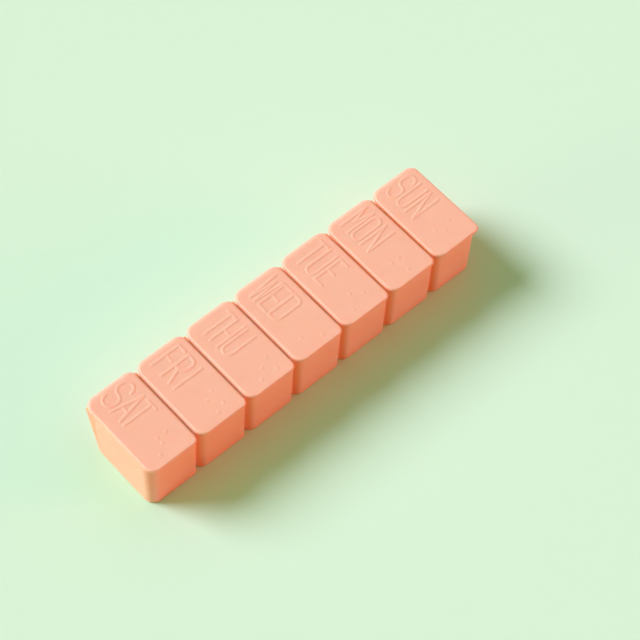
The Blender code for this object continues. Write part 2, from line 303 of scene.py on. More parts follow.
def light_strength(name, light, default, high=20.0):
    """A light's strength in the sidebar."""
    return FloatProperty(name=f"{name} strength", description=f"Strength of the {light}",
                         default=default, min=0.0, max=high)


class PILLBOX_PG_lettering(bpy.types.PropertyGroup):
    """Sizes of the raised letters and dots on the lids."""

    stroke_width: length_setting(
        "Stroke width", "Width of a letter's stroke, halfway up its sides", 0.00096, 0.0003, 0.0015)
    stroke_height: length_setting(
        "Letter height", "How far the letters stand above the lid", 0.00015, 0.0, 0.0006)
    dot_width: length_setting(
        "Dot width", "Width of a touch dot, halfway up its side", 0.0012, 0.0004, 0.002)
    dot_height: length_setting(
        "Dot height", "How far the touch dots stand above the lid", 0.00010, 0.0, 0.0006)
    softness: length_setting(
        "Edge softness", "Width over which a raised edge rises", 0.00060, 0.0001, 0.0008)


class PILLBOX_PG_plastic(bpy.types.PropertyGroup):
    """Colour and finish of the moulded plastic, and the colours of its painted shade and painted light.
    """

    colour: colour_setting(
        "Plastic colour", "Colour of the plastic in plain light", (0.99, 0.51, 0.37))
    flow_colour: colour_setting(
        "Flow colour", "Slightly deeper colour where the melt ran slower", (0.98, 0.49, 0.35))
    # Painted shade: a deeper colour in the folds between the cups, the seams between the lids and the
    # front's left end
    painted_shade_colour: colour_setting(
        "Fold colour", "Deeper colour in the folds between the cups", (1.0, 0.33, 0.14))
    # Painted light: a paler colour on the front wall's foot
    painted_foot_light_colour: colour_setting(
        "Foot colour", "Paler colour of the front wall's foot", (0.99, 0.60, 0.50))
    scatter: FloatVectorProperty(
        name="Light depth", description="How far red, green and blue light run inside the plastic",
        default=(0.0012, 0.0005, 0.0003), min=0.0, max=0.05, size=3, unit="LENGTH", precision=5)
    translucency: FloatProperty(
        name="Translucency", description="Share of the light that runs inside the plastic",
        default=0.5, min=0.0, max=1.0, subtype="FACTOR")
    roughness: FloatProperty(
        name="Roughness", description="Roughness of the satin surface",
        default=0.42, min=0.0, max=1.0, subtype="FACTOR")
    grain_size: length_setting(
        "Grain size", "Size of the mould's fine grain", 0.00022, 0.00005, 0.002)
    grain_depth: length_setting(
        "Grain depth", "Depth of the mould's fine grain", 0.000006, 0.0, 0.0001, 6)


class PILLBOX_PG_stage(bpy.types.PropertyGroup):
    """The floor and the light."""

    floor_colour: colour_setting(
        "Floor colour", "Colour of the plain floor and of the backdrop", (0.685, 0.893, 0.69))
    # Painted shade: a deeper floor colour close beside the box's left end
    painted_floor_shade_colour: colour_setting(
        "Floor beside the end", "Colour of the floor close beside the box's left end",
        (0.534, 0.813, 0.573))
    key_colour: colour_setting("Key colour", "Colour of the main light", (0.902, 0.811, 1.0))
    key_strength: light_strength("Key", "main light", 3.97)
    zenith_colour: colour_setting(
        "Overhead colour", "Colour of the soft light from overhead", (0.057, 1.0, 0.566))
    zenith_strength: light_strength("Overhead", "soft light from overhead", 0.53, 2.0)
    horizon_colour: colour_setting(
        "Wall colour", "Colour of the soft light from low all round", (1.0, 0.055, 0.055))
    horizon_strength: light_strength("Wall", "soft light from low all round", 0.55, 2.0)
    fill_colour: colour_setting(
        "Fill colour", "Colour of the low fill light in front of the box", (1.0, 0.083, 0.038))
    fill_strength: light_strength("Fill", "low fill light in front of the box", 2.65)
    side_colour: colour_setting(
        "Side colour", "Colour of the weak light from the left of the box", (0.95, 1.0, 0.05))
    side_strength: light_strength("Side", "weak light from the left of the box", 0.90)


# ------- outlines


def polar(radius, angle):
    """A point at this radius and angle."""
    return Vector((radius * math.cos(angle), radius * math.sin(angle)))


def arc(centre, radius, start, end, steps):
    """Points along an arc, each with its outward normal."""
    angles = [start + (end - start) * k / steps for k in range(steps + 1)]
    return [(Vector(centre) + polar(radius, a), polar(1, a)) for a in angles]


def rounded_rectangle(left, front, right, rear, corners, rear_steps=CORNER_STEPS):
    """Points and normals round a rectangle, counterclockwise from its front left corner."""
    low, high = Vector((left, front)), Vector((right, rear))
    front_left, front_right, rear_right, rear_left = corners
    points = arc((low.x + front_left, low.y + front_left), front_left,
                 math.pi, math.pi + QUARTER, CORNER_STEPS)
    points += arc((high.x - front_right, low.y + front_right), front_right, -QUARTER, 0, CORNER_STEPS)
    points += arc((high.x - rear_right, high.y - rear_right), rear_right, 0, QUARTER, rear_steps)
    points += arc((low.x + rear_left, high.y - rear_left), rear_left, QUARTER, math.pi, rear_steps)
    return points


def ring(outline, inset, height):
    """The outline moved in by one distance, at one height."""
    return [Vector((*(point - normal * inset), height)) for point, normal in outline]


def soft_edge(radius, steps):
    """How far in and how far down each step of a rounded edge lies, from its side to its top."""
    angles = [QUARTER * k / steps for k in range(steps + 1)]
    return [(radius * (1 - math.cos(a)), radius * (1 - math.sin(a))) for a in angles]


# Steps of the softened edge on the tray's rim
RIM_EDGE = soft_edge(RIM_FILLET, SMALL_FILLET_STEPS)


def inset_profile(profile, distance):
    """A closed counterclockwise profile moved in by one distance."""
    moved = []
    for k, here in enumerate(profile):
        along = (here - profile[k - 1]).normalized()
        onward = (profile[(k + 1) % len(profile)] - here).normalized()
        inward = Vector((-along.y - onward.y, along.x + onward.x))
        moved.append(here + inward * distance / (1 + along.dot(onward)))
    return moved


# ------- solids


def add_item(name, data):
    """One object in the scene, from its mesh, light or camera."""
    item = bpy.data.objects.new(name, data)
    bpy.context.scene.collection.objects.link(item)
    return item


def add_mesh(name, vertices, faces, edges=()):
    """One mesh object from vertices and faces or edges."""
    mesh = bpy.data.meshes.new(name)
    mesh.from_pydata([tuple(v) for v in vertices], edges, faces)
    return add_item(name, mesh)


def loft(name, rings):
    """A closed solid through rings of equal count, the lowest ring first."""
    count = len(rings[0])
    faces = [tuple(reversed(range(count)))]
    for level in range(len(rings) - 1):
        low, high = level * count, (level + 1) * count
        for k in range(count):
            after = (k + 1) % count
            faces.append((low + k, low + after, high + after, high + k))
    last = (len(rings) - 1) * count
    faces.append(tuple(range(last, last + count)))
    return add_mesh(name, [v for each in rings for v in each], faces)


def hoop(name, rings):
    """A closed hoop: its rings run down the outside, up the inside and back to the first."""
    count = len(rings[0])
    faces = []
    for level in range(len(rings)):
        here, there = level * count, (level + 1) % len(rings) * count
        for k in range(count):
            after = (k + 1) % count
            faces.append((here + k, there + k, there + after, here + after))
    return add_mesh(name, [v for each in rings for v in each], faces)


def drawn_out(name, profile, low_x, high_x, fillet, place):
    """A profile of (y, z) points drawn out along X from its place, with rounded end edges."""
    edge = soft_edge(fillet, SMALL_FILLET_STEPS)
    ends = [(low_x + drop, inset) for inset, drop in reversed(edge)]
    ends += [(high_x - drop, inset) for inset, drop in edge]
    return loft(name, [[place + Vector((x, *point)) for point in inset_profile(profile, inset)]
                       for x, inset in ends])


def keep_result(item):
    """Replace an object's mesh by what its modifiers make of it, and drop the modifiers."""
    evaluated = item.evaluated_get(bpy.context.evaluated_depsgraph_get())
    before, after = item.data, bpy.data.meshes.new_from_object(evaluated)
    item.modifiers.clear()
    item.data = after
    bpy.data.meshes.remove(before)


def combine(target, tools, operation):
    """Cut the tools from the target, or unite them with it, and remove the tools."""
    for tool in tools:
        modifier = target.modifiers.new(tool.name, "BOOLEAN")
        modifier.operation = operation
        modifier.solver = "EXACT"
        modifier.object = tool
    keep_result(target)
    for tool in tools:
        bpy.data.objects.remove(tool)


def shade(item):
    """Smooth the faces, and keep the edges that are really sharp."""
    item.data.shade_smooth()
    item.data.set_sharp_from_angle(angle=SHARP_ANGLE)


def flat_faces_first(item):
    """Let the broad faces set the normals at their borders, so that they shade flat."""
    modifier = item.modifiers.new("broad_faces", "WEIGHTED_NORMAL")
    modifier.mode = "FACE_AREA"
    modifier.keep_sharp = True


def lid_middle(index):
    """X of the middle of one lid."""
    return (index - (len(DAYS) - 1) / 2) * LID_PITCH


def cell_left(index):
    """X of the line between one day's lid and the one on its left."""
    return lid_middle(index) - LID_PITCH / 2


def hinge_place(index):
    """The middle of one lid's hinge line."""
    return Vector((lid_middle(index), HINGE_Y, HINGE_Z))


def cup_sides(index):
    """X of the two inner side faces of one cup, at the rim."""
    left = cell_left(index) + PARTITION / 2
    right = lid_middle(index) + LID_PITCH / 2 - PARTITION / 2
    return max(left, -TRAY_END + OUTER_WALL), min(right, TRAY_END - OUTER_WALL)


# ------- tray


def groove_side(corner_x, side):
    """The rounded side of a groove between two cups: side is 1 left of the groove, -1 right."""
    radius = GROOVE_LEFT_CORNER if side > 0 else TRAY_CORNER
    root = math.acos((radius - GROOVE_HALF_WIDTH) / radius)
    centre = (corner_x - side * radius, TRAY_FRONT + radius)
    if side > 0:
        return arc(centre, radius, -QUARTER, -root, CORNER_STEPS)
    return arc(centre, radius, math.pi + root, math.pi + QUARTER, CORNER_STEPS)


def tray_front_edge():
    """The front of the tray's outline, from the left end to the right end."""
    corner_y = TRAY_FRONT + TRAY_CORNER
    points = arc((-TRAY_END + TRAY_CORNER, corner_y), TRAY_CORNER,
                 math.pi, math.pi + QUARTER, CORNER_STEPS)
    for index in range(1, len(DAYS)):
        points += groove_side(cell_left(index), 1) + groove_side(cell_left(index), -1)
    points += arc((TRAY_END - TRAY_CORNER, corner_y), TRAY_CORNER, -QUARTER, 0, CORNER_STEPS)
    return points


def tray_outline():
    """The tray's outline at its rim: the front edge, and the same edge mirrored at the back."""
    front = tray_front_edge()
    middle = (TRAY_FRONT + TRAY_BACK) / 2
    back = [(Vector((p.x, 2 * middle - p.y)), Vector((n.x, -n.y))) for p, n in reversed(front)]
    return front + back


def tray_block():
    """The tray without its cups and hinge bars."""
    outline = tray_outline()
    rings = [ring(outline, TRAY_DRAFT * (1 - height / RIM_Z) + inset, height)
             for inset, height in reversed(soft_edge(TRAY_BOTTOM_FILLET, FILLET_STEPS))]
    rings += [ring(outline, inset, RIM_Z - drop) for inset, drop in RIM_EDGE]
    return loft("tray", rings)


def cup_cutter(index):
    """The inside of one cup: a rounded floor, sloping walls and a softened mouth."""
    left, right = cup_sides(index)
    outline = rounded_rectangle(left, CUP_FRONT, right, CUP_BACK, (CUP_CORNER,) * 4)
    depth = RIM_Z - FLOOR_THICKNESS
    rings = [ring(outline, CUP_DRAFT * (1 - rise / depth) + inset, FLOOR_THICKNESS + rise)
             for inset, rise in reversed(soft_edge(CUP_FLOOR_FILLET, FILLET_STEPS))]
    rings += [ring(outline, -inset, RIM_Z - drop) for inset, drop in RIM_EDGE[:-1]]
    rings.append(ring(outline, -RIM_FILLET, RIM_Z + OVERRUN))
    return loft(f"{DAYS[index]}_cup", rings)


def lug_round():
    """Side view of a lug's round end about the hinge line, and the foot of the open lid's stop."""
    boss = [p for p, n in arc((0, 0), LUG_RADIUS, QUARTER - OPEN_ANGLE, QUARTER, CORNER_STEPS)]
    return boss, boss[0] + polar(LUG_STOP_LENGTH, -OPEN_ANGLE)


def lug_profile():
    """Side view of a lug: flush with the rim, round the bar, then the open lid's stop."""
    boss, foot = lug_round()
    wall = TRAY_BACK - HINGE_Y - OUTER_WALL / 2
    drop = (foot.x - wall) * math.tan(LUG_SLOPE)
    return boss + [Vector((wall, LUG_RADIUS)), Vector((wall, foot.y - drop)), foot]


def bar_ends(index):
    """X of the two ends of one hinge bar, each in the middle of the lug or ear that carries it."""
    reach = (KNUCKLE_WIDTH + LUG_THICKNESS) / 2 + HINGE_GAP
    left = -END_EAR_X - lid_middle(index) if index == 0 else -reach
    right = END_EAR_X - lid_middle(index) if index == len(DAYS) - 1 else reach
    return left, right


def hinge_shapes(index):
    """One hinge bar and the two lugs that carry it."""
    place = hinge_place(index)
    inner = KNUCKLE_WIDTH / 2 + HINGE_GAP
    outer = inner + LUG_THICKNESS
    circle = [p for p, n in arc((0, 0), BAR_RADIUS, 0, math.tau, BAR_SIDES)[:-1]]
    name, lug = DAYS[index], lug_profile()
    return [drawn_out(f"{name}_bar", circle, *bar_ends(index), LUG_FILLET, place),
            drawn_out(f"{name}_left_lug", lug, -outer, -inner, LUG_FILLET, place),
            drawn_out(f"{name}_right_lug", lug, inner, outer, LUG_FILLET, place)]


def ear(name, x, thickness, side):
    """One wall's ear, wider towards the hinge line: side is -1 at the left end, 1 right, 0 between."""
    boss, foot = lug_round()
    hinge = Vector((HINGE_Y, HINGE_Z))
    levels = [Vector((EAR_FOOT_Y, TRAY_BOTTOM_FILLET))] + [hinge + point for point in [foot] + boss]
    levels = [(point.x, point.y, 0) for point in levels if point.y < RIM_Z - RIM_FILLET]
    for inset, drop in RIM_EDGE:
        below = LUG_RADIUS - drop
        levels.append((HINGE_Y + math.sqrt(LUG_RADIUS ** 2 - below ** 2), RIM_Z - drop, inset))
    rings = []
    for rear, height, inset in levels:
        middle = x - side * TRAY_DRAFT * (1 - height / RIM_Z)
        outline = rounded_rectangle(middle - thickness / 2, EAR_FRONT_Y, middle + thickness / 2, rear,
                                    (EAR_EDGE,) * 4)
        rings.append(ring(outline, inset, height))
    return loft(name, rings)


def ears():
    """The ears of the two end walls, and of the walls between the cups."""
    shapes = [ear("left_ear", -END_EAR_X, EAR_THICKNESS, -1),
              ear("right_ear", END_EAR_X, EAR_THICKNESS, 1)]
    for index in range(1, len(DAYS)):
        shapes.append(ear(f"{DAYS[index]}_ear", cell_left(index), INNER_EAR_THICKNESS, 0))
    return shapes


def make_tray():
    """The tray: seven cups in a row, with a hinge bar behind each and an ear behind each wall."""
    tray = tray_block()
    days = range(len(DAYS))
    combine(tray, [cup_cutter(index) for index in days], "DIFFERENCE")
    combine(tray, [shape for index in days for shape in hinge_shapes(index)], "UNION")
    combine(tray, ears(), "UNION")
    return tray


# ------- lids


def plate_ring(outline, step):
    """One ring of the plate's rounded edge: a small fillet at the front and sides, the roll behind."""
    share = step / ROLL_STEPS
    side = QUARTER * share
    start = math.asin(LIP_OVER_AXIS / ROLL_RADIUS)
    roll = start + (QUARTER - start) * share
    roll_inset = ROLL_RADIUS * (math.cos(start) - math.cos(roll))
    roll_height = ROLL_RADIUS * math.sin(roll)
    points = []
    for point, normal in outline:
        back = max(0, normal.y) ** 2
        fillet = LID_FRONT_FILLET + (LID_SIDE_FILLET - LID_FRONT_FILLET) * normal.x ** 2
        side_inset = fillet * (1 - math.cos(side))
        side_height = ROLL_RADIUS - fillet * (1 - math.sin(side))
        inset = side_inset + (roll_inset - side_inset) * back
        height = side_height + (roll_height - side_height) * back
        points.append(Vector((*(point - normal * inset), HINGE_Z + height)))
    return points


def lid_plate(index):
    """The lid's top plate."""
    middle = lid_middle(index)
    rear = HINGE_Y + math.sqrt(ROLL_RADIUS ** 2 - LIP_OVER_AXIS ** 2)
    outline = rounded_rectangle(middle - LID_WIDTH / 2, LID_FRONT, middle + LID_WIDTH / 2, rear,
                                LID_CORNERS, REAR_CORNER_STEPS)
    rings = [ring(outline, inset, UNDERSIDE_Z + rise)
             for inset, rise in reversed(soft_edge(LID_UNDER_FILLET, SMALL_FILLET_STEPS))]
    rings += [plate_ring(outline, step) for step in range(ROLL_STEPS + 1)]
    return loft(f"{DAYS[index]}_lid_plate", rings)


def plug_rim(index):
    """The rim that drops into the cup, a clearance inside its walls."""
    left, right = cup_sides(index)
    outline = rounded_rectangle(left + FIT_GAP, CUP_FRONT + FIT_GAP, right - FIT_GAP,
                                CUP_BACK - FIT_GAP, (CUP_CORNER - FIT_GAP,) * 4)
    top, bottom = UNDERSIDE_Z + EMBED, UNDERSIDE_Z - PLUG_DEPTH
    edge = soft_edge(PLUG_FILLET, SMALL_FILLET_STEPS)
    rings = [ring(outline, 0, top)]
    rings += [ring(outline, inset, bottom + rise) for inset, rise in edge]
    rings += [ring(outline, PLUG_THICKNESS - inset, bottom + rise) for inset, rise in reversed(edge)]
    rings.append(ring(outline, PLUG_THICKNESS, top))
    return hoop(f"{DAYS[index]}_plug", rings)


def closing_bead(index):
    """The bead on the plug's front that holds the lid shut, its rise fading out at both ends."""
    face = CUP_FRONT + FIT_GAP
    middle = UNDERSIDE_Z - BEAD_DROP
    rise = FIT_GAP * BEAD_RISE_SHARE
    half = BEAD_HEIGHT / 2
    turns = [math.pi * k / CORNER_STEPS for k in range(CORNER_STEPS + 1)]
    fades = [QUARTER * k / SMALL_FILLET_STEPS for k in range(1, SMALL_FILLET_STEPS + 1)]
    spots = [(-BEAD_WIDTH / 2 + BEAD_TAPER * (1 - math.cos(a)), math.sin(a)) for a in fades]
    spots += [(-x, share) for x, share in reversed(spots)]
    rings = []
    for x, share in spots:
        bulge = [(face - rise * share * math.sin(a), middle + half * share * math.cos(a))
                 for a in turns]
        inside = [(face + EMBED, middle - half * share), (face + EMBED, middle + half * share)]
        rings.append([Vector((lid_middle(index) + x, *point)) for point in bulge + inside])
    return loft(f"{DAYS[index]}_bead", rings)


def knuckle_angles(start, end):
    """Angles from start to end in even steps of about the knuckle's step."""
    steps = max(1, round(abs(end - start) / KNUCKLE_STEP))
    return [start + (end - start) * k / steps for k in range(steps + 1)]


def knuckle_profile():
    """Side view of the knuckle, an open ring that clips over the bar and thins towards its tip."""
    leaves = math.asin((LIP_OVER_AXIS - EMBED / 2) / ROLL_RADIUS)
    rear = []
    for angle in knuckle_angles(KNUCKLE_TIP, leaves):
        thinning = min(1, max(0, angle / KNUCKLE_TIP))
        rear.append(polar(ROLL_RADIUS + (ARM_RADIUS - ROLL_RADIUS) * thinning, angle))
    embedded = Vector((rear[-1].x - LID_THICKNESS, UNDERSIDE_OVER_AXIS + LID_THICKNESS / 2))
    front = [polar(ARM_RADIUS, angle) for angle in knuckle_angles(KNUCKLE_INNER_END, KNUCKLE_FRONT)]
    bore = [polar(BORE_RADIUS, angle) for angle in knuckle_angles(KNUCKLE_FRONT, KNUCKLE_TIP)]
    return rear + [embedded] + front + bore


def lid_shell(index):
    """One lid without its letters."""
    lid = lid_plate(index)
    half = KNUCKLE_WIDTH / 2
    knuckle = drawn_out(f"{DAYS[index]}_knuckle", knuckle_profile(), -half, half,
                        KNUCKLE_FILLET, hinge_place(index))
    combine(lid, [plug_rim(index), closing_bead(index), knuckle], "UNION")
    lid.name = f"{DAYS[index]}_lid_finished"
    return lid


def add_patch(mesh, index):
    """Put a fine patch in the flat of the lid's top, for the letters to rise from."""
    work = bmesh.new()
    work.from_mesh(mesh)
    level = [face for face in work.faces if face.normal.z > LEVEL_NORMAL]
    top = max(level, key=lambda face: face.calc_center_median().z)
    border = list(top.edges)
    bmesh.ops.delete(work, geom=[top], context="FACES_ONLY")
    width, depth = PATCH_RIGHT - PATCH_LEFT, PATCH_REAR - PATCH_FRONT
    place = Vector((lid_middle(index) + (PATCH_LEFT + PATCH_RIGHT) / 2,
                    LID_FRONT + (PATCH_FRONT + PATCH_REAR) / 2, BOX_HEIGHT))
    grid = bmesh.ops.create_grid(
        work, x_segments=round(width / PATCH_CELL), y_segments=round(depth / PATCH_CELL), size=0.5,
        matrix=Matrix.Translation(place) @ Matrix.Diagonal((width, depth, 1, 1)))
    edges = {edge for vertex in grid["verts"] for edge in vertex.link_edges if edge.is_boundary}
    bmesh.ops.triangle_fill(work, use_beauty=True, edges=border + list(edges), normal=(0, 0, 1))
    work.to_mesh(mesh)
    work.free()


def rounded_stroke(points, radius):
    """A stroke of straight runs with its square corners rounded."""
    path = [points[0]]
    for before, corner, after in zip(points, points[1:], points[2:]):
        coming, leaving = (corner - before).normalized(), (after - corner).normalized()
        centre = corner - coming * radius + leaving * radius
        for k in range(ROUND_STEPS + 1):
            angle = QUARTER * k / ROUND_STEPS
            turn = coming * radius * math.sin(angle)
            path.append(centre - leaving * radius * math.cos(angle) + turn)
    return path + [points[-1]]


def letter_paths(letter, start, end):
    """The strokes of one letter, as points from the lid cell's left side and the lid's front edge."""
    width, height = start - end, LETTER_TOP - LETTER_BASE
    paths = []
    for stroke in LETTER_STROKES[letter]:
        points = [Vector((LETTER_BASE + up * height, start - across * width)) for across, up in stroke]
        paths.append(rounded_stroke(points, width * ROUND_SHARE) if letter in ROUND_LETTERS else points)
    return paths


def on_lid(index, point):
    """A point on one lid's top, given from the lid cell's left side and the lid's front edge."""
    return Vector((cell_left(index) + point[0], LID_FRONT + point[1], BOX_HEIGHT))


def add_guide(name, index, paths):
    """Points joined along paths on one lid's top, as a guide for the letters or dots."""
    vertices, edges = [], []
    for path in paths:
        first = len(vertices)
        vertices += [on_lid(index, point) for point in path]
        edges += [(k, k + 1) for k in range(first, len(vertices) - 1)]
    return add_mesh(name, vertices, [], edges)


def raise_letters(lid, index, plastic, sizes):
    """Raise the day's letters and touch dots from the lid's top."""
    day = DAYS[index]
    paths = [path for letter, start, end in WORDS[day] for path in letter_paths(letter, start, end)]
    strokes = add_guide(f"{day}_strokes", index, paths)
    dots = add_guide(f"{day}_dots", index, [[dot] for dot in DOTS[day]])
    values = {"Strokes": strokes, "Dots": dots, "Plastic": plastic,
              "Stroke Width": sizes.stroke_width, "Stroke Height": sizes.stroke_height,
              "Dot Width": sizes.dot_width, "Dot Height": sizes.dot_height,
              "Edge Softness": sizes.softness}
    modifier = lid.modifiers.new("raised_letters", "NODES")
    modifier.node_group = node_group("Raised lettering", raised_lettering)
    for socket in modifier.node_group.interface.items_tree:
        if socket.name in values:
            modifier[socket.identifier] = values[socket.name]
    flat_faces_first(lid)
    keep_result(lid)
    for guide in (strokes, dots):
        bpy.data.objects.remove(guide)


# ------- node trees


def add_node(tree, kind, settings=None, inputs=None):
    """One node with its settings; an input takes a value or another node's output."""
    item = tree.nodes.new(kind)
    for name, value in (settings or {}).items():
        setattr(item, name, value)
    for name, value in (inputs or {}).items():
        if isinstance(value, bpy.types.NodeSocket):
            tree.links.new(value, item.inputs[name])
        else:
            item.inputs[name].default_value = value
    return item


def new_group(name, kind, inputs, outputs):
    """A new node group and what it is given; each socket has a number's default or another type."""
    tree = bpy.data.node_groups.new(name, kind)
    for direction, sockets in (("INPUT", inputs), ("OUTPUT", outputs)):
        for label, value in sockets.items():
            number = not isinstance(value, str)
            socket = tree.interface.new_socket(
                label, in_out=direction, socket_type="NodeSocketFloat" if number else value)
            if number:
                socket.default_value = value
    return tree, add_node(tree, "NodeGroupInput").outputs


def maths(tree, operation, *values):
    """The result of one sum on numbers or other nodes' outputs."""
    return add_node(tree, "ShaderNodeMath", {"operation": operation}, dict(enumerate(values))).outputs[0]


def fade(tree, value, low, high, at_low=0.0, at_high=1.0, shape="SMOOTHSTEP"):
    """A value that runs from one figure to another between low and high."""
    return add_node(tree, "ShaderNodeMapRange", {"interpolation_type": shape}, {
        "Value": value, "From Min": low, "From Max": high,
        "To Min": at_low, "To Max": at_high}).outputs["Result"]


def object_place(tree):
    """X, Y and Z of a point on the object."""
    spot = add_node(tree, "ShaderNodeTexCoord").outputs["Object"]
    return add_node(tree, "ShaderNodeSeparateXYZ", inputs={"Vector": spot}).outputs


def node_group(name, build):
    """The node group of this name, built at its first use."""
    return bpy.data.node_groups.get(name) or build(name)


def group_node(tree, name, build, inputs):
    """The outputs of a shader group of this name in a tree."""
    return add_node(tree, "ShaderNodeGroup", {"node_tree": node_group(name, build)}, inputs).outputs


def raised_edge(tree, distance, width, softness, height):
    """A height that is full inside the width and fades to nothing over the edge's softness."""
    half, soft = maths(tree, "MULTIPLY", width, 0.5), maths(tree, "MULTIPLY", softness, 0.5)
    return fade(tree, distance, maths(tree, "SUBTRACT", half, soft), maths(tree, "ADD", half, soft),
                height, 0.0)


def nearness(tree, guide, target):
    """The distance from each point of the lid to the guide's edges or points."""
    shape = add_node(tree, "GeometryNodeObjectInfo", inputs={"Object": guide})
    near = add_node(tree, "GeometryNodeProximity", {"target_element": target},
                    {0: shape.outputs["Geometry"]})
    return near.outputs["Distance"]


def raised_lettering(name):
    """Geometry nodes that raise strokes and dots from a lid's top as one moulding."""
    tree, given = new_group(name, "GeometryNodeTree", {
        "Geometry": "NodeSocketGeometry", "Strokes": "NodeSocketObject", "Dots": "NodeSocketObject",
        "Plastic": "NodeSocketMaterial", "Stroke Width": 0.0008, "Stroke Height": 0.0003,
        "Dot Width": 0.001, "Dot Height": 0.0002, "Edge Softness": 0.0003,
    }, {"Geometry": "NodeSocketGeometry"})
    letters = raised_edge(tree, nearness(tree, given["Strokes"], "EDGES"),
                          given["Stroke Width"], given["Edge Softness"], given["Stroke Height"])
    dots = raised_edge(tree, nearness(tree, given["Dots"], "POINTS"),
                       given["Dot Width"], given["Edge Softness"], given["Dot Height"])
    rise = maths(tree, "MAXIMUM", letters, dots)
    upward = add_node(tree, "ShaderNodeCombineXYZ", inputs={"Z": rise})
    moved = add_node(tree, "GeometryNodeSetPosition",
                     inputs={"Geometry": given["Geometry"], "Offset": upward.outputs[0]})
    real = add_node(tree, "GeometryNodeRealizeInstances", inputs={"Geometry": moved.outputs[0]})
    named = add_node(tree, "GeometryNodeSetMaterial",
                     inputs={"Geometry": real.outputs[0], "Material": given["Plastic"]})
    add_node(tree, "NodeGroupOutput", inputs={"Geometry": named.outputs[0]})
    return tree


def moulded_surface(name):
    """A shader group for moulded plastic: fine grain, slow waves, and marks of the melt's flow."""
    tree, given = new_group(name, "ShaderNodeTree", {
        "Grain Size": 0.0002, "Grain Depth": 0.000006, "Wave Size": 0.006, "Wave Depth": 0.00001,
    }, {"Height": 0.0, "Flow": 0.0, "Polish": 0.0})
    place = add_node(tree, "ShaderNodeTexCoord").outputs["Object"]
    fine = add_node(tree, "ShaderNodeTexNoise", inputs={
        "Vector": place, "Scale": maths(tree, "DIVIDE", 1.0, given["Grain Size"]),
        "Detail": 2.0, "Roughness": 0.55}).outputs["Fac"]
    slow = add_node(tree, "ShaderNodeTexNoise", inputs={
        "Vector": place, "Scale": maths(tree, "DIVIDE", 1.0, given["Wave Size"]),
        "Detail": 3.0, "Roughness": 0.5, "Distortion": 0.6}).outputs["Fac"]
    grain = maths(tree, "MULTIPLY", fine, given["Grain Depth"])
    add_node(tree, "NodeGroupOutput", inputs={
        "Height": maths(tree, "MULTIPLY_ADD", slow, given["Wave Depth"], grain),
        "Flow": fade(tree, slow, *FLOW_NOISE, shape="LINEAR"),
        "Polish": fade(tree, fine, *POLISH_NOISE, shape="LINEAR")})
    return tree


def near_seam(name):
    """A shader group that marks what lies near the lines between one day and the next."""
    tree, given = new_group(name, "ShaderNodeTree", {
        "Pitch": 0.02, "Core": 0.0005, "Reach": 0.004, "Row": 0.06, "Lean": 0.0, "At Ends": 0.0,
    }, {"Near": 0.0})
    along = maths(tree, "ABSOLUTE", maths(tree, "SUBTRACT", object_place(tree)["X"], given["Lean"]))
    half = maths(tree, "MULTIPLY", given["Pitch"], 0.5)
    distance = maths(tree, "SUBTRACT", half, maths(tree, "PINGPONG", along, half))
    near = fade(tree, distance, given["Core"], given["Reach"], 1.0, 0.0)
    share = maths(tree, "MAXIMUM", maths(tree, "LESS_THAN", along, given["Row"]), given["At Ends"])
    add_node(tree, "NodeGroupOutput", inputs={"Near": maths(tree, "MULTIPLY", near, share)})
    return tree


def painted_seam_shade(name):
    """A shader group that marks where painted shade goes on the walls of the narrow seams between the
    lids.
    """
    tree, given = new_group(name, "ShaderNodeTree", {
        "Pitch": 0.02, "Core": 0.0005, "Reach": 0.001, "Row": 0.06, "Lean": 0.0, "At Left": 1.0,
        "Low": 0.02, "High": 0.025, "Blend": 0.0005,
    }, {"Seam": 0.0})
    near = group_node(tree, "Near a seam", near_seam, {
        each: given[each] for each in ("Pitch", "Core", "Reach", "Row", "Lean")})["Near"]
    place = object_place(tree)
    under = fade(tree, place["Z"], maths(tree, "SUBTRACT", given["High"], given["Blend"]),
                 given["High"], 1.0, 0.0)
    over = fade(tree, place["Z"], given["Low"], maths(tree, "ADD", given["Low"], given["Blend"]))
    left = maths(tree, "MULTIPLY", given["Row"], -1.0)
    depth = fade(tree, place["X"], left, given["Row"], given["At Left"], 1.0)
    share = maths(tree, "MULTIPLY", near, depth)
    add_node(tree, "NodeGroupOutput", inputs={
        "Seam": maths(tree, "MULTIPLY", share, maths(tree, "MULTIPLY", under, over))})
    return tree


# ------- materials


def rgba(colour):
    """A colour with full alpha."""
    return (*colour, 1.0)


def new_material(name):
    """An empty node material with its output node."""
    material = bpy.data.materials.new(name)
    material.use_nodes = True
    material.node_tree.nodes.clear()
    return material, add_node(material.node_tree, "ShaderNodeOutputMaterial")


def mixed_colour(tree, factor, first, second):
    """A colour with its alpha, or a socket's colour, mixed towards a plain one."""
    return add_node(tree, "ShaderNodeMix", {"data_type": "RGBA"}, {
        "Factor": factor, 6: first, 7: rgba(second)}).outputs[2]


def tint(tree, shader, mask, colour):
    """Mix the shader's base colour towards another one where the mask is full."""
    plain = shader.inputs["Base Color"].links[0].from_socket
    tree.links.new(mixed_colour(tree, mask, plain, colour), shader.inputs["Base Color"])


